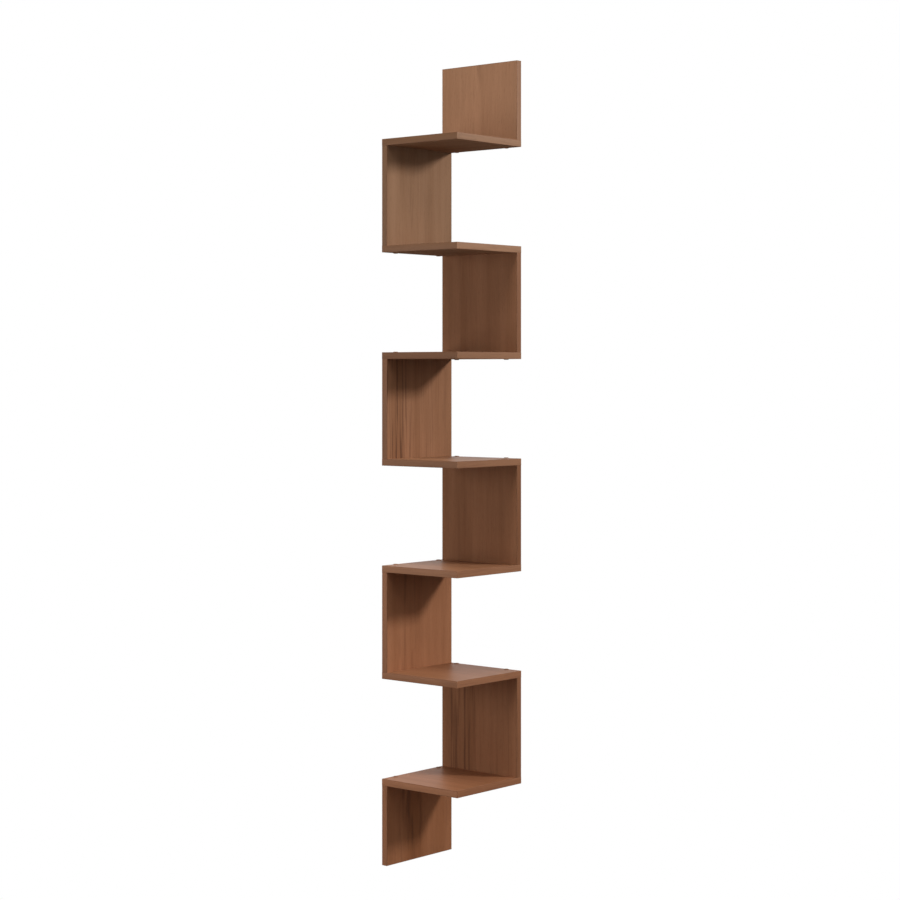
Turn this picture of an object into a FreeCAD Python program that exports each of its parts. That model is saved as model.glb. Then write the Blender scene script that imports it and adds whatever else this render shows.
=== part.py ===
import FreeCAD, Part
import math
import os

from FreeCAD import Vector

# A corner shelf that steps between two walls: square shelves joined by upright panels, which stand
# against the right wall and the left wall in turn. Millimetres, +Z up. The two walls meet on the Z axis:
# the right wall is the plane y = 0 and runs along +X, the left wall is the plane x = 0 and runs along -Y.
# Pieces of the left wall are made on the right wall and mirrored across the plane that halves the corner.

# Boards
SHELF_COUNT = 7
SHELF_SIDE = 220.0            # along each wall, over the edge band
SHELF_THICK = 15.0
PANEL_THICK = 15.0
BAY_HEIGHT = 222.0            # clear height between two shelves
TOP_PANEL_HEIGHT = 177.0      # panel that stands on the top shelf, over its edge band
BOTTOM_PANEL_HEIGHT = 177.0   # panel that hangs under the bottom shelf, over its edge band

# Edge bands, glued to every edge that faces the room
BAND_THICK = 1.0
BAND_EASE = 0.5               # flat scraped on a band's two outer arrises

# Fasteners repeat many times, so their round walls are drawn with this many flats
FASTENER_SIDES = 12

# Joint screws: countersunk one-piece connectors through a shelf into a panel's end
SCREW_INSET = 37.0            # from each end of the joint
SCREW_DIAMETER = 7.0          # over the thread
SCREW_LENGTH = 50.0
SCREW_HEAD_DIAMETER = 10.0
SCREW_HEAD_HEIGHT = 3.0
SCREW_CLEARANCE = 0.1         # radial, round the thread
SCREW_TIP_ROOM = 3.0          # the drilled hole is this much deeper than the screw
SOCKET_WIDTH = 4.0            # hexagon socket, across its flats
SOCKET_DEPTH = 2.5

# Cover caps, pressed into the screws' sockets
CAP_LAP = 1.0                 # how far the cap reaches past the screw's head, all round
CAP_RIM = 1.5                 # width of the sloping rim round the flat crown
CAP_RISE = 1.5                # how far the cap stands proud of the shelf
CAP_PEG_CLEARANCE = 0.05      # on each flat of the hexagon peg
CAP_PEG_TIP_ROOM = 0.5        # the socket is this much deeper than the peg

# Keyhole hanger plates, let in flush on the wall side of some panels, counted from the top
HANGER_PANELS = (0, 1, 4, 5)
HANGER_DROP = 50.0            # from the panel's upper end to the middle of the plate
PLATE_LENGTH = 45.0
PLATE_WIDTH = 18.0
PLATE_THICK = 2.0
PLATE_SINK = 0.2              # below the panel's back
PLATE_CLEARANCE = 0.2         # all round, in the routed recess
ENTRY_DIAMETER = 9.2          # where the head of a wall screw goes in
ENTRY_DROP = 4.0              # of the entry hole's centre below the middle of the plate
SLOT_WIDTH = 4.6              # where the neck of the wall screw hooks
SLOT_TRAVEL = 9.0             # from the entry hole's centre up to the hooked place
HEAD_ROOM_CLEARANCE = 1.4     # pocket for the wall screw's head, wider than the entry hole by this all round
HEAD_ROOM_DEPTH = 6.5         # of the pocket behind the plate

# Countersunk screws that hold a hanger plate
PLATE_SCREW_INSET = 6.0       # from each end of the plate
PLATE_SCREW_DIAMETER = 3.0
PLATE_SCREW_LENGTH = 10.0
PLATE_SCREW_HEAD_DIAMETER = 6.0
PLATE_SCREW_HEAD_HEIGHT = 1.6

# Worked out from the sizes above
CORE_SIDE = SHELF_SIDE - BAND_THICK
PITCH = BAY_HEIGHT + SHELF_THICK
PANEL_COUNT = SHELF_COUNT + 1
CORNER = Vector(0, 0, 0)
BISECTOR = Vector(1, 1, 0)
UP = Vector(0, 0, 1)
DOWN = Vector(0, 0, -1)
INTO_PANEL = Vector(0, -1, 0)


def shelf_bottom(shelf):
    """Height of a shelf's underside; shelf 0 is the top one."""
    return BOTTOM_PANEL_HEIGHT + (SHELF_COUNT - 1 - shelf) * PITCH


def shelf_top(shelf):
    return shelf_bottom(shelf) + SHELF_THICK


def panel_span(panel):
    """Lower and upper end of a panel, over its bands; panel 0 stands on the top shelf."""
    if panel == 0:
        return shelf_top(0), shelf_top(0) + TOP_PANEL_HEIGHT
    if panel == PANEL_COUNT - 1:
        return 0.0, BOTTOM_PANEL_HEIGHT
    return shelf_top(panel), shelf_top(panel) + BAY_HEIGHT


def core_span(panel):
    """Lower and upper end of a panel's board, inside the band on a free end."""
    low, high = panel_span(panel)
    if panel == 0:
        high -= BAND_THICK
    if panel == PANEL_COUNT - 1:
        low += BAND_THICK
    return low, high


def panel_wall(panel):
    return "left" if panel % 2 else "right"


def panel_name(panel):
    return f"{panel_wall(panel)}_panel_{panel // 2 + 1}"


def on_wall(shape, wall):
    """A piece made on the right wall, put on the wall it belongs to."""
    if wall == "left":
        return shape.mirror(CORNER, BISECTOR)
    return shape


def ring(radius, height, sides):
    """The corners of a regular polygon, level, on the Z axis."""
    turn = 2 * math.pi / sides
    return [Vector(radius * math.cos(k * turn), radius * math.sin(k * turn), height) for k in range(sides)]


def flat_face(corners):
    return Part.Face(Part.makePolygon(corners + corners[:1]))


def turned(profile, foot, direction):
    """A turned piece drawn with flats: profile holds (radius, distance) from foot along direction."""
    rings = [ring(radius, distance, FASTENER_SIDES) for radius, distance in profile]
    faces = [flat_face(rings[0]), flat_face(rings[-1])]
    for lower, upper in zip(rings, rings[1:]):
        for k in range(FASTENER_SIDES):
            faces.append(flat_face([lower[k - 1], lower[k], upper[k], upper[k - 1]]))
    solid = Part.Solid(Part.Shell(faces))
    solid.Placement = FreeCAD.Placement(foot, FreeCAD.Rotation(UP, direction))
    return solid


def hexagon(width, foot, direction, depth):
    """A hexagon prism of a width across flats, from foot along direction."""
    prism = flat_face(ring(width / math.sqrt(3), 0, 6)).extrude(UP * depth)
    prism.Placement = FreeCAD.Placement(foot, FreeCAD.Rotation(UP, direction))
    return prism


def countersunk(foot, direction, diameter, length, head_diameter, head_height):
    """A countersunk screw with its head flush at foot."""
    profile = [(head_diameter / 2, 0), (diameter / 2, head_height), (diameter / 2, length)]
    return turned(profile, foot, direction)


def countersunk_hole(foot, direction, diameter, clearance, depth, head_diameter, head_height):
    """The hole for that screw: the head's cone seats on it, and the thread runs clear."""
    bore = diameter / 2 + clearance
    taper = (head_diameter - diameter) / 2 / head_height
    seat = (head_diameter / 2 - bore) / taper
    return turned([(head_diameter / 2, 0), (bore, seat), (bore, depth)], foot, direction)


def edge_band(corner, run, across, outward):
    """A strip of edge band: run and across are its length and width, outward is the way it faces."""
    ease = min(BAND_EASE, BAND_THICK)
    inset = Vector(across).normalize() * ease
    shoulder = outward * (BAND_THICK - ease)
    crown = outward * BAND_THICK
    far = corner + across
    profile = [corner, far, far + shoulder, far + crown - inset, corner + crown + inset, corner + shoulder]
    return flat_face(profile).extrude(run)


# Where the screws of a joint stand: at the middle of the panel's thickness, an inset from each end

def joint_places(height):
    return [Vector(along, -PANEL_THICK / 2, height) for along in (SCREW_INSET, SHELF_SIDE - SCREW_INSET)]


def shelf_joints(shelf):
    """The two joints of a shelf: (wall, height of the screw heads, way the screws point)."""
    return [(panel_wall(shelf), shelf_bottom(shelf), UP), (panel_wall(shelf + 1), shelf_top(shelf), DOWN)]


def joint_screw(foot, direction):
    screw = countersunk(foot, direction, SCREW_DIAMETER, SCREW_LENGTH, SCREW_HEAD_DIAMETER, SCREW_HEAD_HEIGHT)
    return screw.cut(hexagon(SOCKET_WIDTH, foot, direction, SOCKET_DEPTH))


def joint_hole(foot, direction):
    return countersunk_hole(foot, direction, SCREW_DIAMETER, SCREW_CLEARANCE, SCREW_LENGTH + SCREW_TIP_ROOM,
                            SCREW_HEAD_DIAMETER, SCREW_HEAD_HEIGHT)


def screw_cap(foot, direction):
    """A flat cap with a sloping rim on the shelf's face, and a hexagon peg down the screw's socket."""
    rim = SCREW_HEAD_DIAMETER / 2 + CAP_LAP
    cap = turned([(rim, 0), (rim - CAP_RIM, CAP_RISE)], foot, -direction)
    peg_width = SOCKET_WIDTH - 2 * CAP_PEG_CLEARANCE
    return cap.fuse(hexagon(peg_width, foot, direction, SOCKET_DEPTH - CAP_PEG_TIP_ROOM))


def at_joints(shelf, make):
    """One piece at each screw of a shelf, on the walls where they belong."""
    return [on_wall(make(place, direction), wall)
            for wall, height, direction in shelf_joints(shelf)
            for place in joint_places(height)]


# Hanger plate and the routing that takes it, on the right wall

def plate_middle(panel):
    return Vector(SHELF_SIDE / 2, 0, panel_span(panel)[1] - HANGER_DROP)


def wall_slot(low, high, width, sink, depth):
    """A round-ended upright slot, square to the wall: low and high are the centres of its ends."""
    half = Vector(width / 2, 0, 0)
    round_off = Vector(0, 0, width / 2)
    top = Part.Arc(high - half, high + round_off, high + half).toShape()
    bottom = Part.Arc(low + half, low - round_off, low - half).toShape()
    sides = [Part.makeLine(high + half, low + half), Part.makeLine(low - half, high - half)]
    outline = Part.Wire([top, sides[0], bottom, sides[1]])
    outline.translate(INTO_PANEL * sink)
    return Part.Face(outline).extrude(INTO_PANEL * depth)


def plate_slot(middle, extra, sink, depth):
    """The plate's outline, grown by extra all round."""
    reach = Vector(0, 0, (PLATE_LENGTH - PLATE_WIDTH) / 2)
    return wall_slot(middle - reach, middle + reach, PLATE_WIDTH + 2 * extra, sink, depth)


def keyhole_centres(middle):
    entry = middle - Vector(0, 0, ENTRY_DROP)
    return entry, entry + Vector(0, 0, SLOT_TRAVEL)


def plate_screw_feet(middle):
    reach = Vector(0, 0, PLATE_LENGTH / 2 - PLATE_SCREW_INSET)
    return [foot + INTO_PANEL * PLATE_SINK for foot in (middle - reach, middle + reach)]


def plate_screw(foot):
    return countersunk(foot, INTO_PANEL, PLATE_SCREW_DIAMETER, PLATE_SCREW_LENGTH,
                       PLATE_SCREW_HEAD_DIAMETER, PLATE_SCREW_HEAD_HEIGHT)


def plate_screw_hole(foot):
    return countersunk_hole(foot, INTO_PANEL, PLATE_SCREW_DIAMETER, SCREW_CLEARANCE, PLATE_SCREW_LENGTH,
                            PLATE_SCREW_HEAD_DIAMETER, PLATE_SCREW_HEAD_HEIGHT)


def hanger_plate(middle):
    entry, hook = keyhole_centres(middle)
    plate = plate_slot(middle, 0, PLATE_SINK, PLATE_THICK)
    entry_hole = Part.makeCylinder(ENTRY_DIAMETER / 2, PLATE_SINK + PLATE_THICK, entry, INTO_PANEL)
    hook_slot = wall_slot(entry, hook, SLOT_WIDTH, 0, PLATE_SINK + PLATE_THICK)
    return plate.cut([entry_hole, hook_slot] + [plate_screw_hole(foot) for foot in plate_screw_feet(middle)])


def hanger_routing(middle):
    entry, hook = keyhole_centres(middle)
    floor = PLATE_SINK + PLATE_THICK
    recess = plate_slot(middle, PLATE_CLEARANCE, 0, floor)
    head_room = wall_slot(entry, hook, ENTRY_DIAMETER + 2 * HEAD_ROOM_CLEARANCE, 0, floor + HEAD_ROOM_DEPTH)
    return [recess, head_room] + [plate_screw_hole(foot) for foot in plate_screw_feet(middle)]


# Boards and bands

def shelf_board(shelf):
    board = Part.makeBox(CORE_SIDE, CORE_SIDE, SHELF_THICK, Vector(0, -CORE_SIDE, shelf_bottom(shelf)))
    return board.cut(at_joints(shelf, joint_hole))


def shelf_bands(shelf):
    """The band on the left front edge, and the one on the right that laps over its end."""
    foot = shelf_bottom(shelf)
    up = UP * SHELF_THICK
    left = edge_band(Vector(0, -CORE_SIDE, foot), Vector(CORE_SIDE, 0, 0), up, Vector(0, -1, 0))
    right = edge_band(Vector(CORE_SIDE, -SHELF_SIDE, foot), Vector(0, SHELF_SIDE, 0), up, Vector(1, 0, 0))
    return {"left": left, "right": right}


def panel_board(panel):
    low, high = core_span(panel)
    board = Part.makeBox(CORE_SIDE, PANEL_THICK, high - low, Vector(0, -PANEL_THICK, low))
    cuts = []
    if panel > 0:
        cuts += [joint_hole(place, DOWN) for place in joint_places(shelf_top(panel - 1))]
    if panel < SHELF_COUNT:
        cuts += [joint_hole(place, UP) for place in joint_places(shelf_bottom(panel))]
    if panel in HANGER_PANELS:
        cuts += hanger_routing(plate_middle(panel))
    return board.cut(cuts)


def panel_bands(panel):
    """The band up the front edge, and the one that laps over it on a free end."""
    low, high = core_span(panel)
    across = Vector(0, -PANEL_THICK, 0)
    rise = Vector(0, 0, high - low)
    bands = {"front": edge_band(Vector(CORE_SIDE, 0, low), rise, across, Vector(1, 0, 0))}
    along = Vector(SHELF_SIDE, 0, 0)
    if panel == 0:
        bands["top"] = edge_band(Vector(0, 0, high), along, across, UP)
    if panel == PANEL_COUNT - 1:
        bands["bottom"] = edge_band(Vector(0, 0, low), along, across, DOWN)
    return bands


def write(name, solids):
    shape = solids[0] if len(solids) == 1 else Part.makeCompound(solids)
    shape.exportStep(f"parts/{name}.step")


os.makedirs("parts", exist_ok=True)

for shelf in range(SHELF_COUNT):
    name = f"shelf_{shelf + 1}"
    write(name, [shelf_board(shelf)])
    for side, band in shelf_bands(shelf).items():
        write(f"{name}_{side}_edge_band", [band])
    write(f"{name}_joint_screws", at_joints(shelf, joint_screw))
    write(f"{name}_screw_caps", at_joints(shelf, screw_cap))

plate_screws = {"right": [], "left": []}
for panel in range(PANEL_COUNT):
    name = panel_name(panel)
    wall = panel_wall(panel)
    write(name, [on_wall(panel_board(panel), wall)])
    for side, band in panel_bands(panel).items():
        write(f"{name}_{side}_edge_band", [on_wall(band, wall)])
    if panel in HANGER_PANELS:
        middle = plate_middle(panel)
        write(f"{name}_hanger_plate", [on_wall(hanger_plate(middle), wall)])
        plate_screws[wall] += [on_wall(plate_screw(foot), wall) for foot in plate_screw_feet(middle)]

for wall, screws in plate_screws.items():
    write(f"{wall}_hanger_screws", screws)
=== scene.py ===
# %% [markdown]
# # A corner shelf that steps between two walls
# Seven square shelves and eight upright panels climb the corner of a room in a zigzag. The boards are
# chipboard faced with a walnut print. The edges that face the room carry a thin plastic band, small caps
# cover the joint screws, and keyhole plates on the wall side hang the shelf up.
# The imported model brings every piece at its real place, in metres: the right wall is the plane y = 0, the
# left wall is the plane x = 0, and both meet on the Z axis. This file gives each piece its finish, and makes
# the small trim again as finer meshes. The box around the model places the floor, and its middle is where the
# lamps aim.

# %% Load the imported model
import math

import bmesh
import bpy
from mathutils import Matrix, Vector


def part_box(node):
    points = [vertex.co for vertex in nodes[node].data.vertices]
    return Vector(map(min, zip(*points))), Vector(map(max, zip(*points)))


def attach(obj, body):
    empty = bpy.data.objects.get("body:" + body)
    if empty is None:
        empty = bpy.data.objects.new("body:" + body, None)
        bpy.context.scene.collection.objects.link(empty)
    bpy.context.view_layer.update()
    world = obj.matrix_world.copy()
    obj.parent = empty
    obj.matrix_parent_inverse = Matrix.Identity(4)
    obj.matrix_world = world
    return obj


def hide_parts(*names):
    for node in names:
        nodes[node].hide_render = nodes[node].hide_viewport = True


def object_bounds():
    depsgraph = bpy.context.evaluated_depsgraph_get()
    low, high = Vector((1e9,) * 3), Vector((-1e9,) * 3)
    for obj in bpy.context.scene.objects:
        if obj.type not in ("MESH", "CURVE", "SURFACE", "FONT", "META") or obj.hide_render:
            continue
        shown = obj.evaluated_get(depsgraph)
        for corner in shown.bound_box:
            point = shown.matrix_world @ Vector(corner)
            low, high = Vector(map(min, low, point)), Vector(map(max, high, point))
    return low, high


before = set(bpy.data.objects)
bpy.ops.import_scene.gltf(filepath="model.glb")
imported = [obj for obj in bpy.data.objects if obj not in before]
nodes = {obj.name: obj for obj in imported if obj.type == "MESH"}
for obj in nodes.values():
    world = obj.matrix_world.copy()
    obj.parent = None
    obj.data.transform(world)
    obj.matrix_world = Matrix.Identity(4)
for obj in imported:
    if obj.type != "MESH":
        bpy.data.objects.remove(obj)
cad_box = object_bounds()
shelf_middle = (cad_box[0] + cad_box[1]) / 2
scene = bpy.context.scene
MM = 0.001
print(len(nodes), "pieces, box", [round(edge / MM) for edge in cad_box[1] - cad_box[0]], "mm")

# %% [markdown]
# ## The camera
# The view is level, so every upright edge stays upright in the picture. A level camera usually centres the
# horizon, but here the horizon lies above the middle. A real photographer shifts the lens for that, and
# Blender's shift does the same without tilting anything. The focal length is in pixels of a square picture
# 900 wide, and the eye is found from the line where the two walls meet: its column and its distance.

# %% Camera
PHOTO_SIDE = 900.0                  # pixels
FOCAL_LENGTH = 2123.0               # pixels
HORIZON_ROW = 373.4                 # pixels from the top
CORNER_COLUMN = 446.6               # pixels from the left, of the line where the walls meet
CORNER_DISTANCE = 4.886             # metres, along the view
EYE_HEIGHT = 1.093                  # metres above the shelf's lower end
VIEW_TURN = math.radians(40.66)     # the right wall is seen this far from square
SENSOR_WIDTH = 36.0                 # millimetres

camera_data = bpy.data.cameras.new("photo_camera")
camera_data.sensor_width = SENSOR_WIDTH
camera_data.lens = SENSOR_WIDTH * FOCAL_LENGTH / PHOTO_SIDE
camera_data.shift_y = HORIZON_ROW / PHOTO_SIDE - 0.5
camera = bpy.data.objects.new("photo_camera", camera_data)
view_line = Vector((-math.sin(VIEW_TURN), math.cos(VIEW_TURN), 0))
rightward = Vector((view_line.y, -view_line.x, 0))
corner_offset = (CORNER_COLUMN - PHOTO_SIDE / 2) / FOCAL_LENGTH * CORNER_DISTANCE
camera.location = Vector((0, 0, EYE_HEIGHT)) - view_line * CORNER_DISTANCE - rightward * corner_offset
camera.rotation_euler = (math.pi / 2, 0, VIEW_TURN)
scene.collection.objects.link(camera)
scene.camera = camera
scene.view_settings.view_transform = "Standard"
print("camera at", [round(value, 3) for value in camera.location], "lens", round(camera_data.lens, 1), "mm")

# %% [markdown]
# ## Helpers for materials
# Colours are written as sRGB hex values, as a paint program shows them, and shaders want linear light, so
# one function turns the first into the second. Another adds a node to a tree: keyword settings are the
# node's own options, and the dictionary fills its inputs, either with a plain value or with another node's
# output, which becomes a link. Most inputs have a name of their own. A Mix node repeats its names for
# numbers and for colours, so its sockets are picked by their place in the row. The third function gives an
# empty tree to start from.

# %% Colour and node helpers
MIDDLE_GREY = "#808080"
FACTOR = 0                          # inputs of a Mix node
NUMBER_A, NUMBER_B = 2, 3
COLOUR_A, COLOUR_B = 6, 7
MIXED_COLOUR = 2                    # output of a Mix node


def linear(hex_colour):
    """An sRGB hex colour as linear red, green, blue and full opacity, by the sRGB standard's curve."""
    channels = [int(hex_colour[k:k + 2], 16) / 255 for k in (1, 3, 5)]
    return [c / 12.92 if c <= 0.04045 else ((c + 0.055) / 1.055) ** 2.4 for c in channels] + [1.0]


def add(tree, kind, inputs=None, **settings):
    """A new node in a tree, with its options set and its inputs filled or linked."""
    node = tree.nodes.new(kind)
    for name, value in settings.items():
        setattr(node, name, value)
    for name, value in (inputs or {}).items():
        if isinstance(value, bpy.types.NodeSocket):
            tree.links.new(value, node.inputs[name])
        else:
            node.inputs[name].default_value = value
    return node


def empty_tree(owner):
    """The node tree of a material or world, with nothing in it."""
    owner.use_nodes = True
    owner.node_tree.nodes.clear()
    return owner.node_tree


print("middle grey is", round(linear(MIDDLE_GREY)[0], 3), "in linear light")

# %% [markdown]
# ## White surroundings and a pale floor
# The object hangs in plain white. A white world would also flood it with light, so the world is white only
# for what the camera sees and what shiny surfaces mirror, and dim for the light that falls on the object.
# The floor is a pale disc some way below, as the floor of a room would be. It takes light and shadow as any
# matt surface does, and a glow on top, for the eye only, lifts it to white. The glow grows towards the rim,
# so that the disc melts into the white around it.

# %% World
WHITE = "#FFFFFF"
ROOM_LIGHT = 0.01                   # how much light the room gives from all sides


def seen_directly(tree):
    """One for rays that the eye follows: straight, mirrored or through something clear."""
    path = add(tree, "ShaderNodeLightPath").outputs
    mirrored = add(tree, "ShaderNodeMath", {0: path["Is Camera Ray"], 1: path["Is Glossy Ray"]},
                   operation="MAXIMUM")
    clear = add(tree, "ShaderNodeMath", {0: mirrored.outputs[0], 1: path["Is Transmission Ray"]},
                operation="MAXIMUM")
    return clear.outputs[0]


world = bpy.data.worlds.new("white_room")
scene.world = world
tree = empty_tree(world)
dim = add(tree, "ShaderNodeBackground", {"Color": linear(WHITE), "Strength": ROOM_LIGHT})
white = add(tree, "ShaderNodeBackground", {"Color": linear(WHITE), "Strength": 1.0})
either = add(tree, "ShaderNodeMixShader", {0: seen_directly(tree), 1: dim.outputs[0], 2: white.outputs[0]})
add(tree, "ShaderNodeOutputWorld", {"Surface": either.outputs[0]})
print("white to the eye, light of", ROOM_LIGHT, "on the object")

# %% Floor
FLOOR_GREY = "#E4E2DF"
FLOOR_DROP = 0.8                    # metres below the shelf's lower end
FLOOR_RADIUS = 1.25                 # metres
FLOOR_STEPS = 96
FLOOR_GLOW = (0.4, 1.0)             # in the middle and at the rim

floor_middle = Vector((shelf_middle.x, shelf_middle.y, cad_box[0].z - FLOOR_DROP))
pale_floor = bpy.data.materials.new("pale_floor")
tree = empty_tree(pale_floor)
matt = add(tree, "ShaderNodeBsdfDiffuse", {"Color": linear(FLOOR_GREY)})
place = add(tree, "ShaderNodeTexCoord").outputs["Object"]
outward = add(tree, "ShaderNodeVectorMath", {0: place, 1: floor_middle}, operation="DISTANCE")
rise = add(tree, "ShaderNodeMapRange", {"Value": outward.outputs["Value"], "From Max": FLOOR_RADIUS,
                                        "To Min": FLOOR_GLOW[0], "To Max": FLOOR_GLOW[1]})
glow = add(tree, "ShaderNodeEmission", {"Color": linear(WHITE), "Strength": rise.outputs[0]})
lifted = add(tree, "ShaderNodeAddShader", {0: matt.outputs[0], 1: glow.outputs[0]})
either = add(tree, "ShaderNodeMixShader", {0: seen_directly(tree), 1: matt.outputs[0], 2: lifted.outputs[0]})
add(tree, "ShaderNodeOutputMaterial", {"Surface": either.outputs[0]})

disc = bmesh.new()
bmesh.ops.create_circle(disc, cap_ends=True, radius=FLOOR_RADIUS, segments=FLOOR_STEPS,
                        matrix=Matrix.Translation(floor_middle))
floor_mesh = bpy.data.meshes.new("floor")
disc.to_mesh(floor_mesh)
disc.free()
floor_mesh.materials.append(pale_floor)
floor = bpy.data.objects.new("floor", floor_mesh)
scene.collection.objects.link(floor)
print("floor", FLOOR_DROP, "m below the shelf")

# %% [markdown]
# ## The lamps
# The main lamp stands three metres to the right, behind the right wall's plane and half a metre above the
# shelf. It throws the slanted shadow of each shelf on the left panel below it, deeper at every step down,
# and leaves the right panels' faces to the others. Its width sets how soft those shadows are. A broad lamp
# high in front lights the top panel and the shelves' tops. One on the left, as high as the middle of the
# shelf, fills the right panels, and a very wide one on the right softens the shade on the left panels. The
# last one stands behind the corner, and keeps the wall side from going black in views from there. It is
# kept out of reflections, because the shelves' tops would mirror it straight at the camera.

# %% Lamps
def lamp(name, place, width, power):
    """A round soft lamp at a place, turned towards the middle of the shelf: metres and watts."""
    data = bpy.data.lights.new(name, "AREA")
    data.shape = "DISK"
    data.size = width
    data.energy = power
    made = bpy.data.objects.new(name, data)
    made.location = place
    made.rotation_euler = (Vector(place) - shelf_middle).to_track_quat("Z", "Y").to_euler()
    made.visible_camera = False
    scene.collection.objects.link(made)
    return made


lamps = [
    lamp("right_lamp", (3.35, 1.72, 2.36), width=0.55, power=91),
    lamp("top_lamp", (0.4, -1.8, 3.9), width=2.0, power=61),
    lamp("left_lamp", (-1.8, -3.2, 1.0), width=2.0, power=47),
    lamp("room_lamp", (4.5, -0.5, 1.6), width=3.0, power=38),
    lamp("back_lamp", (-2.4, 2.4, 1.6), width=1.5, power=40),
]
back_lamp = lamps[-1]
back_lamp.visible_glossy = False
print(len(lamps), "lamps,", sum(made.data.energy for made in lamps), "W")

# %% [markdown]
# ## Walnut print
# The boards' faces are melamine: paper printed with walnut, pressed under resin. Walnut shows grain at many
# sizes at once: broad lighter and darker zones, streaks about as wide as a pencil, fibres about a millimetre
# wide, and short dark pores. Each is one noise texture stretched along the grain, with its width and length
# in millimetres. A slow sway bends them all together, as the grain of one plank does. A picture of real
# veneer could do the same, but it would repeat from board to board, and this doesn't.

# %% Walnut print
WALNUT_PALE = "#A57657"
WALNUT_BROWN = "#95684A"
WALNUT_STREAK = "#573828"
WARM_STEP = (0.07, -0.03, -0.09, 0)  # what one step of warmth adds to red, green, blue and opacity
GRAIN_LAYERS = {                    # width and length in millimetres
    "zone": (38, 700),
    "fibre": (1.7, 60),
    "pore": (0.7, 14),              # really about 0.2 wide, drawn coarser so that it shows
}
GRAIN_RANGES = {                    # noise values at which a layer begins and is full
    "zone": (0.3, 0.7),
    "streak": (0.48, 0.7),
    "fibre": (0.42, 0.75),
    "pore": (0.6, 0.74),
}
FIBRE_DARK = 0.14                   # share of the streaks' brown in the fibres
PORE_DARK = 0.35                    # and in the pores
SWAY = (60, 240, 5)                 # width, length and sideways swing in millimetres
HEART_DARK = 1.2                    # how much darker the ground is where the streaks are strongest


def grain_scale(along, width, length):
    """Noise cells per metre: length along the grain's axis, width across it."""
    return [1 / (MM * (length if axis == along else width)) for axis in range(3)]


def warmed(hex_colour, painted_warmth):
    """A colour of the print, greyer (under 0) or more orange (over 0)."""
    return [channel * (1 + painted_warmth * step) for channel, step in zip(linear(hex_colour), WARM_STEP)]


def walnut_print(tree, along, shift, streaks, streak_size, tone_and_painted_light, painted_warmth):
    """Colour and relief of a walnut print.

    along is the grain's axis and shift picks another part of the plank. streaks is how dark the streaks are
    and streak_size their width and length in millimetres. The tone makes the whole plank darker: partly this
    is the plank's own tone and partly painted shade, and a paler tone is partly a painted highlight. The
    warmth makes the plank more orange, or greyer under 0. It is painted light, greyer higher up, where it
    paints in a lamp's sheen.
    """
    pale, brown, streak_brown = (warmed(tint, painted_warmth) for tint in (WALNUT_PALE, WALNUT_BROWN, WALNUT_STREAK))
    place = add(tree, "ShaderNodeTexCoord").outputs["Object"]
    width, length, swing = SWAY
    slow = add(tree, "ShaderNodeMapping", {"Vector": place, "Location": shift,
                                           "Scale": grain_scale(along, width, length)})
    sway = add(tree, "ShaderNodeTexNoise", {"Vector": slow.outputs[0], "Scale": 1.0, "Detail": 1.0})
    swung = add(tree, "ShaderNodeVectorMath", {0: sway.outputs["Color"], 1: [swing * MM] * 3, 2: place},
                operation="MULTIPLY_ADD")
    noise = {}
    for layer, (width, length) in {**GRAIN_LAYERS, "streak": streak_size}.items():
        mapped = add(tree, "ShaderNodeMapping", {"Vector": swung.outputs[0], "Location": shift,
                                                 "Scale": grain_scale(along, width, length)})
        noise[layer] = add(tree, "ShaderNodeTexNoise", {"Vector": mapped.outputs[0], "Scale": 1.0,
                                                        "Detail": 2.0, "Roughness": 0.55}).outputs[0]

    begin, full = GRAIN_RANGES["zone"]
    zone = add(tree, "ShaderNodeMapRange", {"Value": noise["zone"], "From Min": begin, "From Max": full,
                                            "To Min": tone_and_painted_light, "To Max": tone_and_painted_light + 1})
    dark = add(tree, "ShaderNodeMath", {0: streaks, 1: HEART_DARK, 2: zone.outputs[0]},
               operation="MULTIPLY_ADD")
    ground = add(tree, "ShaderNodeMix", {FACTOR: dark.outputs[0], COLOUR_A: pale, COLOUR_B: brown},
                 data_type="RGBA", clamp_factor=False)
    colour = ground.outputs[MIXED_COLOUR]
    lines = [("streak", streaks, "SMOOTHSTEP"), ("fibre", FIBRE_DARK, "LINEAR"),
             ("pore", PORE_DARK, "LINEAR")]
    for layer, darkness, blend in lines:
        begin, full = GRAIN_RANGES[layer]
        line = add(tree, "ShaderNodeMapRange", {"Value": noise[layer], "From Min": begin, "From Max": full,
                                                "To Max": darkness}, interpolation_type=blend)
        lined = add(tree, "ShaderNodeMix", {FACTOR: line.outputs[0], COLOUR_A: colour,
                                            COLOUR_B: streak_brown}, data_type="RGBA")
        colour = lined.outputs[MIXED_COLOUR]
    pores = line.outputs[0]
    return colour, pores


print("grain layers:", ", ".join(GRAIN_RANGES))

# %% [markdown]
# ## Boards: print on the faces, chipboard at the raw edges
# Only the edges that face the room are banded. The edges against the walls stay as the saw left them, and
# there the board shows what it is: pressed wood chips, lying flat, pale and brown, with small holes between
# them. The print is a skin a third of a millimetre thick on the two faces, so a board's material needs only
# one question: how far is this point from the middle of the board's thickness? Close to the surface it is
# print, and anywhere deeper, on edges, in holes and in routed pockets, it is chipboard.
# A plank is liveliest near its heart, where dark streaks crowd together on a darker ground, and calm away
# from it. So each board has a line where the heart lies, measured from its front edge, and a strength for its
# figure. Each board also gets a tone, partly the plank's own and partly painted light and shade. It also gets
# a warmth that is painted light: greyer at the top, where it paints in a lamp's sheen, and more orange
# towards the bottom.

# %% Chipboard
CHIP_PALE = "#D2B891"
CHIP_BROWN = "#94714C"
# painted shade in the holes between the chips
CHIP_HOLE_SHADE = "#5E452F"
CHIP_WIDTH = 2.6                    # millimetres, along the board
CHIP_THICK = 0.8                    # millimetres, through the board
GAP_RANGE = (0.6, 0.95)             # cells from a chip's middle at which a gap begins and is full


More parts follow.
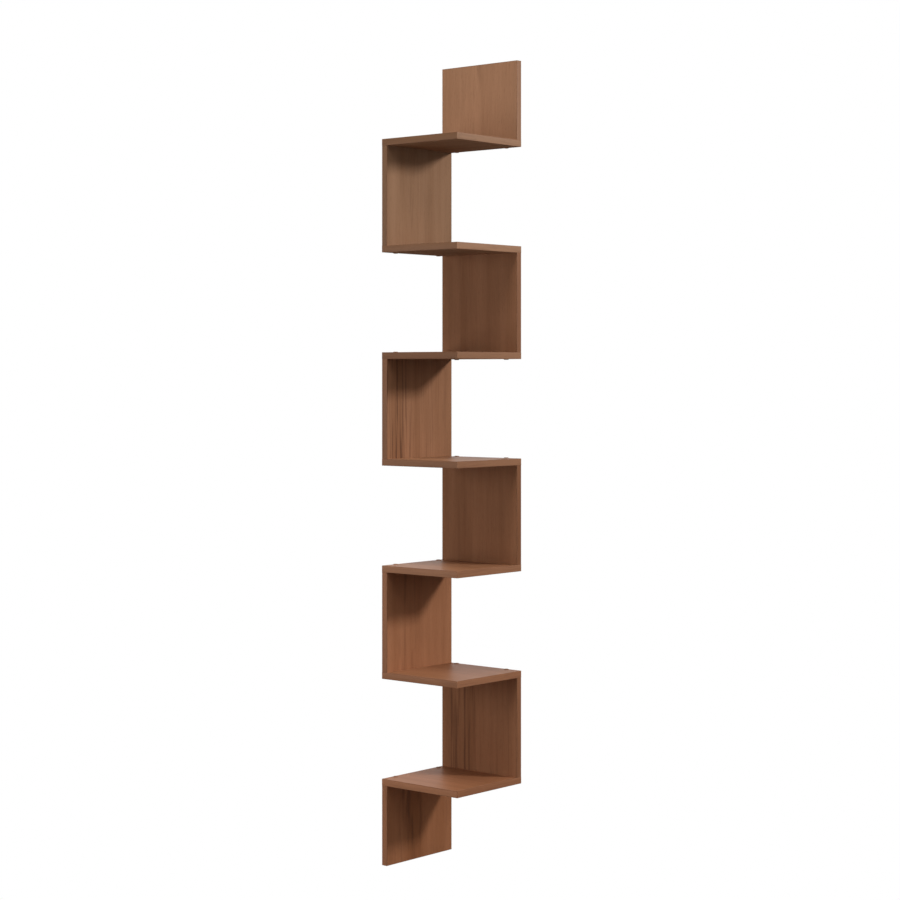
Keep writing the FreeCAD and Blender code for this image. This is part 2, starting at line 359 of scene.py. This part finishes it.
def raw_chipboard(tree, through, shift):
    """Colour and gaps of sawn chipboard: flat chips, pale and brown, with the shade in the holes between them
    painted dark.
    """
    place = add(tree, "ShaderNodeTexCoord").outputs["Object"]
    flat = add(tree, "ShaderNodeMapping", {"Vector": place, "Location": shift,
                                           "Scale": grain_scale(through, CHIP_WIDTH, CHIP_THICK)})
    chip = add(tree, "ShaderNodeTexVoronoi", {"Vector": flat.outputs[0], "Scale": 1.0})
    wood = add(tree, "ShaderNodeMix", {FACTOR: chip.outputs["Color"], COLOUR_A: linear(CHIP_PALE),
                                       COLOUR_B: linear(CHIP_BROWN)}, data_type="RGBA")
    begin, full = GAP_RANGE
    gap = add(tree, "ShaderNodeMapRange", {"Value": chip.outputs["Distance"], "From Min": begin,
                                           "From Max": full})
    colour = add(tree, "ShaderNodeMix", {FACTOR: gap.outputs[0], COLOUR_A: wood.outputs[MIXED_COLOUR],
                                         COLOUR_B: linear(CHIP_HOLE_SHADE)}, data_type="RGBA")
    return colour.outputs[MIXED_COLOUR], gap.outputs[0]


print("chips", CHIP_WIDTH, "x", CHIP_THICK, "mm")

# %% Board material
X, Y, Z = range(3)
PRINT_SKIN = 0.3                    # millimetres
MATT = 1.0                          # roughness of the backing foil and of chipboard
SHELF_SHEEN = 0.42                  # roughness of the shelves' tops, polished by dusting
PANEL_SHEEN = 0.6                   # roughness of the panels' faces
PORE_DULL = 0.1                     # how much rougher the pores are
DULL = 0.06                         # specular level of surfaces that mirror little
BOARD_BUMP = {"Strength": 0.25, "Distance": 0.2 * MM}
HEART_REACH = 55                    # millimetres from the heart to the calm grain
CALM = 0.2                          # share of the streaks' strength in the calm grain


def board_finish(name, through, room_side, along, figure, shift, sheen):
    """Walnut melamine, a printed skin with a soft sheen on the good face, and dull chipboard inside.

    through is the axis of the board's thickness, and room_side is +1 or -1, the way its good face looks on
    it. figure is where the heart lies, how dark its streaks are, and their width and length. It also gives
    the plank's tone, partly painted light and shade, and its warmth, which is painted light.
    """
    heart, strength, streak_size, tone_and_painted_light, painted_warmth = figure
    material = bpy.data.materials.new(f"walnut_melamine_{name}")
    tree = empty_tree(material)
    place = add(tree, "ShaderNodeTexCoord").outputs["Object"]
    parts = add(tree, "ShaderNodeSeparateXYZ", {0: place})
    low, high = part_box(name)

    across = X + Y + Z - through - along  # the third axis; a board's front is at its highest X or lowest Y
    heart_line = high[X] - heart * MM if across == X else low[across] + heart * MM
    aside = add(tree, "ShaderNodeMath", {0: parts.outputs[across], 1: heart_line}, operation="SUBTRACT")
    far = add(tree, "ShaderNodeMath", {0: aside.outputs[0]}, operation="ABSOLUTE")
    streaks = add(tree, "ShaderNodeMapRange", {"Value": far.outputs[0], "From Max": HEART_REACH * MM,
                                               "To Min": strength, "To Max": strength * CALM})
    walnut, pores = walnut_print(tree, along, shift, streaks.outputs[0], streak_size, tone_and_painted_light, painted_warmth)
    chipboard, gaps = raw_chipboard(tree, through, shift)

    half = (high[through] - low[through]) / 2
    core = half - PRINT_SKIN * MM
    offset = add(tree, "ShaderNodeMath", {0: parts.outputs[through], 1: low[through] + half},
                 operation="SUBTRACT")
    depth = add(tree, "ShaderNodeMath", {0: offset.outputs[0]}, operation="ABSOLUTE")
    skin = add(tree, "ShaderNodeMath", {0: depth.outputs[0], 1: core}, operation="GREATER_THAN")
    to_room = add(tree, "ShaderNodeMath", {0: offset.outputs[0], 1: room_side}, operation="MULTIPLY")
    good_face = add(tree, "ShaderNodeMath", {0: to_room.outputs[0], 1: core}, operation="GREATER_THAN")

    colour = add(tree, "ShaderNodeMix", {FACTOR: skin.outputs[0], COLOUR_A: chipboard, COLOUR_B: walnut},
                 data_type="RGBA")
    melamine = add(tree, "ShaderNodeMapRange", {"Value": pores, "To Min": sheen, "To Max": sheen + PORE_DULL})
    gloss = add(tree, "ShaderNodeMix", {FACTOR: good_face.outputs[0], NUMBER_A: MATT,
                                        NUMBER_B: melamine.outputs[0]})
    relief = add(tree, "ShaderNodeMix", {FACTOR: skin.outputs[0], NUMBER_A: gaps, NUMBER_B: pores})
    bump = add(tree, "ShaderNodeBump", {"Height": relief.outputs[0], **BOARD_BUMP}, invert=True)
    surface = add(tree, "ShaderNodeBsdfPrincipled",
                  {"Base Color": colour.outputs[MIXED_COLOUR], "Roughness": gloss.outputs[0],
                   "Specular IOR Level": DULL, "Normal": bump.outputs[0]})
    add(tree, "ShaderNodeOutputMaterial", {"Surface": surface.outputs[0]})
    return material


def dress(node, material):
    """Gives a CAD piece a material in place of its own."""
    node.data.materials.clear()
    node.data.materials.append(material)


print("print on the outer", PRINT_SKIN, "mm of each board")

# %% Board finishes
# Each figure: the heart's distance from the front edge, how dark its streaks are, their width and length, and
# how much darker and how much warmer than usual the plank is drawn. The tone is partly the plank's own and
# partly painted light and shade. The warmth is painted light, greyer at the top as a painted sheen.
PANEL_FIGURES = {
    "right_panel_1": (120, 0.15, (12, 150), -1.0, -0.5),
    "left_panel_1": (90, 0.2, (10, 150), -0.1, -1.4),
    "right_panel_2": (150, 0.15, (12, 150), -0.1, 0.4),
    "left_panel_2": (34, 1.0, (4.2, 170), -0.5, 0.1),
    "right_panel_3": (150, 0.15, (12, 150), 0.1, 0.6),
    "left_panel_3": (75, 0.4, (12, 170), -0.45, 1.1),
    "right_panel_4": (168, 0.8, (8, 230), -0.4, 0.8),
    "left_panel_4": (85, 0.9, (22, 170), 0.3, 1.3),
}
SHELF_FIGURE = (100, 0.2, (9, 140), -0.1)
# painted light by height: greyer at the top, a painted sheen, and more orange at the bottom
SHELF_PAINTED_WARMTH = (-1.0, -0.7, -0.3, 0.1, 0.5, 0.9, 1.3)
SHELVES = [f"shelf_{count}" for count in range(1, 8)]
BOARD_KINDS = {                     # axis of the thickness, way of the good face, axis of the grain, sheen
    "shelf": (Z, 1, X, SHELF_SHEEN),
    "left": (X, 1, Z, PANEL_SHEEN),
    "right": (Y, -1, Z, PANEL_SHEEN),
}
PLANK_STEP = Vector((5.3, 2.9, 1.7))  # noise cells from one plank to the next

figures = {name: (*SHELF_FIGURE, painted_warmth) for name, painted_warmth in zip(SHELVES, SHELF_PAINTED_WARMTH)} | PANEL_FIGURES
for count, (name, figure) in enumerate(figures.items()):
    through, room_side, along, sheen = BOARD_KINDS[name.partition("_")[0]]
    dress(nodes[name], board_finish(name, through, room_side, along, figure, PLANK_STEP * count, sheen))
print(len(SHELVES), "shelves and", len(PANEL_FIGURES), "panels have their print")

# %% [markdown]
# ## Edge bands
# A band is a millimetre of ABS plastic with the same walnut printed along it, glued to the board's edge. It
# has the painted warmth of its board, and a tone of its own that paints light and shade on it: paler where a
# highlight is painted, darker where shade is. After gluing, a scraper eases its two long arrises, and the cut
# shows the plastic's own plain brown.
# Each strip starts as a cube stretched over the band's box. The arrises on the room's side get a rounded
# bevel, and its new faces take the second material. A hair-thin bevel on the glued side leaves the fine
# joint line that a real band shows.

# %% Band materials
BAND_STREAKS = 0.2
BAND_STREAK_SIZE = (4, 90)          # millimetres
BAND_TONE = 0.2                     # usual tone, as for the planks
BAND_PAINTED_LIGHT = {                      # painted light, band by band: paler is a painted highlight, darker a painted shade
    "shelf_1_left": 1.3, "shelf_2_left": 0.9, "shelf_3_left": 1.4, "shelf_4_left": 0.9,
    "shelf_5_left": -0.4, "shelf_7_left": -0.7,
    "shelf_1_right": -0.4, "shelf_2_right": -0.8, "shelf_5_right": -0.1,
    "left_panel_1_front": 1.1, "left_panel_2_front": 0.8, "left_panel_3_front": 0.4,
    "right_panel_1_front": -0.1, "right_panel_2_front": 0.8, "right_panel_3_front": 1.5,
    "right_panel_4_front": 1.3,
}
BAND_ROUGHNESS = {"To Min": 0.5, "To Max": 0.6}
BAND_BUMP = {"Strength": 0.15, "Distance": 0.1 * MM}
BAND_SPECULAR = 0.15
ABS_DARK = "#7B5540"
ABS_PALE = "#94694F"
ABS_ROUGHNESS = {"To Min": 0.55, "To Max": 0.75}
ABS_BUMP = {"Strength": 0.2, "Distance": 0.05 * MM}
CHATTER = 3                         # millimetres from one mark of the scraper to the next


def band_finish(name, along, shift, tone_and_painted_light, painted_warmth):
    """Printed ABS: the walnut grain runs along the band, under a satin lacquer."""
    material = bpy.data.materials.new(name)
    tree = empty_tree(material)
    colour, pores = walnut_print(tree, along, shift, BAND_STREAKS, BAND_STREAK_SIZE, tone_and_painted_light, painted_warmth)
    gloss = add(tree, "ShaderNodeMapRange", {"Value": pores, **BAND_ROUGHNESS})
    bump = add(tree, "ShaderNodeBump", {"Height": pores, **BAND_BUMP}, invert=True)
    surface = add(tree, "ShaderNodeBsdfPrincipled",
                  {"Base Color": colour, "Roughness": gloss.outputs[0],
                   "Specular IOR Level": BAND_SPECULAR, "Normal": bump.outputs[0]})
    add(tree, "ShaderNodeOutputMaterial", {"Surface": surface.outputs[0]})
    return material


def scraped_abs():
    """Bare brown ABS where the scraper cut: matt, with fine chatter marks."""
    material = bpy.data.materials.new("scraped_abs")
    tree = empty_tree(material)
    place = add(tree, "ShaderNodeTexCoord").outputs["Object"]
    chatter = add(tree, "ShaderNodeTexNoise", {"Vector": place, "Scale": 1 / (CHATTER * MM), "Detail": 3.0})
    marks = chatter.outputs[0]
    colour = add(tree, "ShaderNodeMix", {FACTOR: marks, COLOUR_A: linear(ABS_DARK),
                                         COLOUR_B: linear(ABS_PALE)}, data_type="RGBA")
    gloss = add(tree, "ShaderNodeMapRange", {"Value": marks, **ABS_ROUGHNESS})
    bump = add(tree, "ShaderNodeBump", {"Height": marks, **ABS_BUMP})
    surface = add(tree, "ShaderNodeBsdfPrincipled",
                  {"Base Color": colour.outputs[MIXED_COLOUR], "Roughness": gloss.outputs[0],
                   "Specular IOR Level": DULL, "Normal": bump.outputs[0]})
    add(tree, "ShaderNodeOutputMaterial", {"Surface": surface.outputs[0]})
    return material


bare_abs = scraped_abs()
print(len(BAND_PAINTED_LIGHT), "bands differ in tone")

# %% Band strips
EASE = 0.6 * MM
EASE_STEPS = 4
JOINT_LINE = 0.12 * MM
CREASE = math.radians(35)           # sharper edges than this stay crisp when a piece is shaded smooth


def new_piece(shape, name, replaced, materials):
    """Turns a bmesh into an object on the root, in place of a CAD node, which is hidden."""
    mesh = bpy.data.meshes.new(name)
    shape.to_mesh(mesh)
    shape.free()
    for material in materials:
        mesh.materials.append(material)
    mesh.set_sharp_from_angle(angle=CREASE)
    piece = bpy.data.objects.new(name, mesh)
    scene.collection.objects.link(piece)
    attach(piece, "root")
    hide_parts(replaced)
    return piece


def edge_strip(node, outward, run, printed):
    """An edge band with scraped arrises; outward is the way it faces and run the axis of its length."""
    low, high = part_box(node)
    middle = (low + high) / 2
    strip = bmesh.new()
    stretch = Matrix.Diagonal((*(high - low), 1))
    bmesh.ops.create_cube(strip, size=1, matrix=Matrix.Translation(middle) @ stretch)
    long_edges = [edge for edge in strip.edges if edge.verts[0].co[run] != edge.verts[1].co[run]]
    outer = [edge for edge in long_edges if (edge.verts[0].co - middle).dot(outward) > 0]
    glued = [edge for edge in long_edges if edge not in outer]
    eased = bmesh.ops.bevel(strip, geom=outer, offset=EASE, segments=EASE_STEPS, profile=0.5, affect="EDGES",
                            material=-1)
    for face in eased["faces"]:
        face.material_index = 1
        face.smooth = True
    bmesh.ops.bevel(strip, geom=glued, offset=JOINT_LINE, segments=1, profile=0.5, affect="EDGES",
                    material=-1)
    return new_piece(strip, f"{node}_strip", node, [printed, bare_abs])


BAND_SIDES = {                      # the way a band faces, and the axis it runs along
    "shelf_left": (Vector((0, -1, 0)), X),
    "shelf_right": (Vector((1, 0, 0)), Y),
    "right_panel_front": (Vector((1, 0, 0)), Z),
    "left_panel_front": (Vector((0, -1, 0)), Z),
    "right_panel_top": (Vector((0, 0, 1)), X),
    "left_panel_bottom": (Vector((0, 0, -1)), Y),
}
strips = []
for node in sorted(nodes):
    if node.endswith("_edge_band"):
        board_edge = node.removesuffix("_edge_band")
        side = "_".join(word for word in board_edge.split("_") if not word.isdigit())
        outward, run = BAND_SIDES[side]
        board = board_edge.rpartition("_")[0]
        painted_warmth = figures[board][-1]
        # each band's tone paints light and shade on it, and its warmth is painted light
        printed = band_finish(f"printed_abs_{board_edge}", run, PLANK_STEP * len(strips),
                              BAND_PAINTED_LIGHT.get(board_edge, BAND_TONE), painted_warmth)
        strips.append(edge_strip(node, outward, run, printed))
print(len(strips), "edge strips")

# %% [markdown]
# ## Finding the small pieces
# The caps of one shelf share a node, and so do the hanger screws of one wall, because they repeat. To dress
# each cap or screw, the script needs to know where each one stands. Walking from vertex to vertex along the
# edges of the node's mesh reaches one solid at a time, and the box around each walk gives its place. A new
# cap or screw is then modelled once and copied to all of those places.

# %% Separate solids of a node
MERGE = 0.001 * MM


def solids_of(node):
    """The boxes of a node's separate solids, in a steady order."""
    shell = bmesh.new()
    shell.from_mesh(nodes[node].data)
    bmesh.ops.remove_doubles(shell, verts=shell.verts, dist=MERGE)
    unseen = set(shell.verts)
    boxes = []
    while unseen:
        reached = {unseen.pop()}
        front = set(reached)
        while front:
            front = {edge.other_vert(vert) for vert in front for edge in vert.link_edges} - reached
            reached |= front
        unseen -= reached
        corners = [vert.co for vert in reached]
        boxes.append((Vector(map(min, *corners)), Vector(map(max, *corners))))
    shell.free()
    return sorted(boxes, key=lambda box: tuple(box[0]))


def repeated(master, places):
    """One bmesh with a copy of a master shape at each place; the master is used up."""
    mesh = bpy.data.meshes.new("master")
    master.to_mesh(mesh)
    master.free()
    group = bmesh.new()
    for place in places:
        first = len(group.verts)
        group.from_mesh(mesh)
        group.verts.ensure_lookup_table()
        bmesh.ops.transform(group, matrix=place, verts=group.verts[first:])
    bpy.data.meshes.remove(mesh)
    return group


for low, high in solids_of("shelf_3_screw_caps"):
    print("cap of shelf 3 at", [round(value / MM, 1) for value in (low + high) / 2], "mm")

# %% [markdown]
# ## Turned bodies
# Caps and screws are alike in another way: both are round bodies that end in a hexagon or a cross. So one
# function turns the body from its profile, like a piece on a lathe. Another closes its open rim with a flat
# ring of faces round that outline, and pushes the outline down to make a peg or a recess.

# %% Turning and pushing down
def spun(profile, steps):
    """A bmesh turned round the Z axis from (radius, height) points, closed where it meets the axis."""
    shape = bmesh.new()
    line = [shape.verts.new((radius, 0, height)) for radius, height in profile]
    edges = [shape.edges.new(pair) for pair in zip(line, line[1:])]
    bmesh.ops.spin(shape, geom=line + edges, axis=(0, 0, 1), cent=(0, 0, 0), angle=2 * math.pi, steps=steps,
                   use_merge=True)
    bmesh.ops.remove_doubles(shape, verts=shape.verts, dist=MERGE)
    bmesh.ops.recalc_face_normals(shape, faces=shape.faces)
    for face in shape.faces:
        face.smooth = True
    return shape


def pushed_down(shape, outline, depth, taper):
    """Closes a shape's open rim on Z = 0 round an outline, and pushes the outline down.

    depth is how far, and taper is the size of the outline at the bottom.
    """
    corners = [shape.verts.new(point) for point in outline]
    rim = [edge for edge in shape.edges if edge.is_boundary]
    inner = [shape.edges.new(pair) for pair in zip(corners, corners[1:] + corners[:1])]
    bmesh.ops.triangle_fill(shape, use_beauty=True, use_dissolve=False, edges=rim + inner, normal=(0, 0, 1))
    pushed = bmesh.ops.extrude_edge_only(shape, edges=inner)["geom"]
    bottom = [part for part in pushed if isinstance(part, bmesh.types.BMVert)]
    bmesh.ops.translate(shape, vec=(0, 0, -depth), verts=bottom)
    bmesh.ops.scale(shape, vec=(taper, taper, 1), verts=bottom)
    bottom_edges = [part for part in pushed if isinstance(part, bmesh.types.BMEdge)]
    bmesh.ops.contextual_create(shape, geom=bottom_edges)
    bmesh.ops.recalc_face_normals(shape, faces=shape.faces)
    return shape


print("turned bodies are welded within", MERGE / MM, "mm")

# %% [markdown]
# ## Screw caps
# Each joint screw is hidden by a small moulded cap of brown plastic: a low disc with a sloping rim, and a
# hexagon peg that is pressed into the screw's socket. Bevels round the rim and the crown's edge, because a
# mould can't leave them sharp, and a shallow dimple in the middle marks where the plastic was injected. A
# corner of each peg points along its joint, which is along X on the right wall and along Y on the left one.

# %% Cap plastic
CAP_DARK = "#8F6449"
CAP_PALE = "#A0755A"
CAP_CLOUD = 6                       # millimetres
CAP_ROUGHNESS = {"To Min": 0.4, "To Max": 0.52}
CAP_BUMP = {"Strength": 0.2, "Distance": 0.03 * MM}
SPARK_GRAIN = 0.5                   # millimetres; the real grain is finer, drawn coarser so that it shows


def cap_plastic():
    """Moulded polyethylene: an even brown, a fine spark-eroded texture and a soft gloss."""
    material = bpy.data.materials.new("moulded_cap_plastic")
    tree = empty_tree(material)
    place = add(tree, "ShaderNodeTexCoord").outputs["Object"]
    texture = add(tree, "ShaderNodeTexNoise", {"Vector": place, "Scale": 1 / (SPARK_GRAIN * MM),
                                               "Detail": 2.0})
    cloud = add(tree, "ShaderNodeTexNoise", {"Vector": place, "Scale": 1 / (CAP_CLOUD * MM), "Detail": 1.0})
    colour = add(tree, "ShaderNodeMix", {FACTOR: cloud.outputs[0], COLOUR_A: linear(CAP_DARK),
                                         COLOUR_B: linear(CAP_PALE)}, data_type="RGBA")
    gloss = add(tree, "ShaderNodeMapRange", {"Value": texture.outputs[0], **CAP_ROUGHNESS})
    bump = add(tree, "ShaderNodeBump", {"Height": texture.outputs[0], **CAP_BUMP})
    surface = add(tree, "ShaderNodeBsdfPrincipled",
                  {"Base Color": colour.outputs[MIXED_COLOUR], "Roughness": gloss.outputs[0],
                   "Specular IOR Level": DULL, "Normal": bump.outputs[0]})
    add(tree, "ShaderNodeOutputMaterial", {"Surface": surface.outputs[0]})
    return material


brown_cap = cap_plastic()
print("caps between", CAP_DARK, "and", CAP_PALE)

# %% Caps
CAP_STEPS = 36
CAP_EDGE = 0.3 * MM                 # upright edge at the foot of the rim
CAP_CROWN = 0.72                    # share of the cap's radius that is flat
CAP_ROUND = 0.22 * MM
ROUND_STEPS = 3                     # faces across a small rounding
GATE_RADIUS = 0.7 * MM
GATE_DEPTH = 0.12 * MM
PEG_WIDTH = 3.9 * MM                # across the flats of the hexagon


def moulded_cap(radius, rise, peg):
    """One cap, standing on Z = 0, with its peg below and a corner of the peg on X."""
    crown = radius * CAP_CROWN
    cap = spun([(radius, 0), (radius, CAP_EDGE), (crown, rise), (GATE_RADIUS, rise), (0, rise - GATE_DEPTH)],
               CAP_STEPS)
    rings = [(radius, CAP_EDGE), (crown, rise)]
    rounded = [edge for edge in cap.edges for ring, height in rings
               if all(abs(vert.co.xy.length - ring) < MERGE and abs(vert.co.z - height) < MERGE
                      for vert in edge.verts)]
    rims = bmesh.ops.bevel(cap, geom=rounded, offset=CAP_ROUND, segments=ROUND_STEPS, profile=0.5,
                           affect="EDGES", material=-1)
    for face in rims["faces"]:
        face.smooth = True
    corner = Vector((PEG_WIDTH / math.sqrt(3), 0, 0))
    hexagon = [Matrix.Rotation(sixth * math.pi / 3, 3, "Z") @ corner for sixth in range(6)]
    return pushed_down(cap, hexagon, peg, taper=1)


upside_down = Matrix.Rotation(math.pi, 4, "X")
for shelf in SHELVES:
    node = f"{shelf}_screw_caps"
    below, above = (corner.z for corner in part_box(shelf))
    places = []
    for low, high in solids_of(node):
        middle = (low + high) / 2
        radius = (high.x - low.x) / 2
        on_left_wall = middle.x < -middle.y
        turn = Matrix.Rotation(math.pi / 2 if on_left_wall else 0, 4, "Z")
        if high.z > above:
            rise, peg = high.z - above, above - low.z
            places.append(Matrix.Translation((middle.x, middle.y, above)) @ turn)
        else:
            rise, peg = below - low.z, high.z - below
            places.append(Matrix.Translation((middle.x, middle.y, below)) @ turn @ upside_down)
    caps = repeated(moulded_cap(radius, rise, peg), places)
    new_piece(caps, f"{node}_moulded", node, [brown_cap])
print("caps", round(2 * radius / MM, 1), "mm wide,", round(rise / MM, 1), "mm proud, pegs",
      round(peg / MM, 1), "mm")

# %% [markdown]
# ## Zinc plated steel
# The hanger plates are punched from rolled strip and the screws are turned wire, and all are zinc plated.
# Zinc is a grey metal with a faint yellow or blue cast, brighter where it was rubbed. Rolling leaves fine
# lines along the strip, a third of a millimetre apart, and handling leaves a soft mottle.

# %% Zinc
ZINC_MOTTLE = 5                     # millimetres
ZINC_ROUGHNESS = {"From Min": 0.1, "From Max": 0.45, "To Min": 0.28, "To Max": 0.5}
ZINC_BUMP = {"Strength": 0.15, "Distance": 0.03 * MM}


def zinc_plated(name, cool, warm, line_width, line_length):
    """Zinc on steel: a mottled grey shine, broken by lines of a width and length in millimetres along Z."""
    material = bpy.data.materials.new(name)
    tree = empty_tree(material)
    place = add(tree, "ShaderNodeTexCoord").outputs["Object"]
    mottle = add(tree, "ShaderNodeTexNoise", {"Vector": place, "Scale": 1 / (ZINC_MOTTLE * MM),
                                              "Detail": 3.0})
    stretched = add(tree, "ShaderNodeMapping", {"Vector": place,
                                                "Scale": grain_scale(Z, line_width, line_length)})
    lines = add(tree, "ShaderNodeTexNoise", {"Vector": stretched.outputs[0], "Scale": 1.0, "Detail": 2.0})
    colour = add(tree, "ShaderNodeMix", {FACTOR: mottle.outputs[0], COLOUR_A: linear(cool),
                                         COLOUR_B: linear(warm)}, data_type="RGBA")
    rubbed = add(tree, "ShaderNodeMath", {0: mottle.outputs[0], 1: lines.outputs[0]}, operation="MULTIPLY")
    gloss = add(tree, "ShaderNodeMapRange", {"Value": rubbed.outputs[0], **ZINC_ROUGHNESS})
    bump = add(tree, "ShaderNodeBump", {"Height": lines.outputs[0], **ZINC_BUMP})
    surface = add(tree, "ShaderNodeBsdfPrincipled",
                  {"Base Color": colour.outputs[MIXED_COLOUR], "Metallic": 1.0,
                   "Roughness": gloss.outputs[0], "Normal": bump.outputs[0]})
    add(tree, "ShaderNodeOutputMaterial", {"Surface": surface.outputs[0]})
    return material


zinc_strip = zinc_plated("zinc_plated_strip", cool="#94989B", warm="#A8A7A1", line_width=0.3, line_length=12)
zinc_wire = zinc_plated("zinc_plated_wire", cool="#929490", warm="#AAA48F", line_width=0.4, line_length=1.5)
for shelf in SHELVES:
    dress(nodes[f"{shelf}_joint_screws"], zinc_wire)
print("zinc on", len(SHELVES), "groups of joint screws")

# %% [markdown]
# ## Hanger plates
# A keyhole plate has a round hole for the head of a wall screw and a slot that hooks over its neck. A punch
# pulls the metal's edge round on one side, so sharp corners would look wrong. The CAD mesh has the right
# outline, so a copy of it is welded, its flat faces are joined, and every sharp edge gets a small bevel.

# %% Plates
STAMPED_ROUND = 0.2 * MM
SHARP = math.radians(40)            # edges sharper than this are rounded
FLAT = math.radians(1)              # faces that meet flatter than this are joined


def stamped_plate(node):
    """A copy of a hanger plate with the edges that punching leaves."""
    plate = bmesh.new()
    plate.from_mesh(nodes[node].data)
    bmesh.ops.remove_doubles(plate, verts=plate.verts, dist=MERGE)
    bmesh.ops.dissolve_limit(plate, angle_limit=FLAT, verts=plate.verts, edges=plate.edges)
    arrises = [edge for edge in plate.edges if edge.is_manifold and edge.calc_face_angle() > SHARP]
    bmesh.ops.bevel(plate, geom=arrises, offset=STAMPED_ROUND, segments=ROUND_STEPS, profile=0.5,
                    affect="EDGES", material=-1)
    broad = max(face.calc_area() for face in plate.faces) / 2
    for face in plate.faces:
        face.smooth = face.calc_area() < broad
    return new_piece(plate, f"{node}_stamped", node, [zinc_strip])


plates = [stamped_plate(node) for node in sorted(nodes) if node.endswith("_hanger_plate")]
print(len(plates), "hanger plates,", [len(plate.data.polygons) for plate in plates], "faces")

# %% [markdown]
# ## Hanger screws
# Two small countersunk screws hold each plate. What shows is the head with its cross recess. The head is
# turned with the rest of the screw, and a cross of twelve points is pushed down into it and drawn in, as the
# tapered punch does.

# %% Screws
SCREW_STEPS = 32
SHANK_RADIUS = 1.5 * MM
HEAD_HEIGHT = 1.6 * MM
SCREW_TIP = 2.5 * MM                # length of the point
CROSS_REACH = 1.6 * MM              # from the middle to the end of an arm
CROSS_HALF = 0.4 * MM               # half the width of an arm
CROSS_DEPTH = 1.2 * MM
CROSS_TAPER = 0.45                  # size of the recess at its bottom


def plate_screw(head_radius, length):
    """A countersunk screw with a cross recess: its head is flush with Z = 0 and it points down."""
    screw = spun([(0, -length), (SHANK_RADIUS, SCREW_TIP - length), (SHANK_RADIUS, -HEAD_HEIGHT),
                  (head_radius, 0)], SCREW_STEPS)
    arm = [Vector((CROSS_REACH, -CROSS_HALF, 0)), Vector((CROSS_REACH, CROSS_HALF, 0)),
           Vector((CROSS_HALF, CROSS_HALF, 0))]
    turns = [Matrix.Rotation(quarter * math.pi / 2, 3, "Z") for quarter in range(4)]
    cross = [turn @ point for turn in turns for point in arm]
    return pushed_down(screw, cross, CROSS_DEPTH, CROSS_TAPER)


def facing(foot, direction):
    """The matrix that stands a shape made on +Z at a foot, along a direction."""
    turn = Vector((0, 0, 1)).rotation_difference(direction)
    return Matrix.Translation(foot) @ turn.to_matrix().to_4x4()


for wall, to_wall in (("right", Vector((0, 1, 0))), ("left", Vector((-1, 0, 0)))):
    node = f"{wall}_hanger_screws"
    places = []
    for low, high in solids_of(node):
        middle = (low + high) / 2
        length = abs((high - low).dot(to_wall))
        places.append(facing(middle + to_wall * length / 2, to_wall))
        head_radius = (high.z - low.z) / 2
    screws = repeated(plate_screw(head_radius, length), places)
    new_piece(screws, f"{node}_driven", node, [zinc_wire])
print("hanger screws", round(2 * head_radius / MM, 1), "x", round(length / MM, 1), "mm")
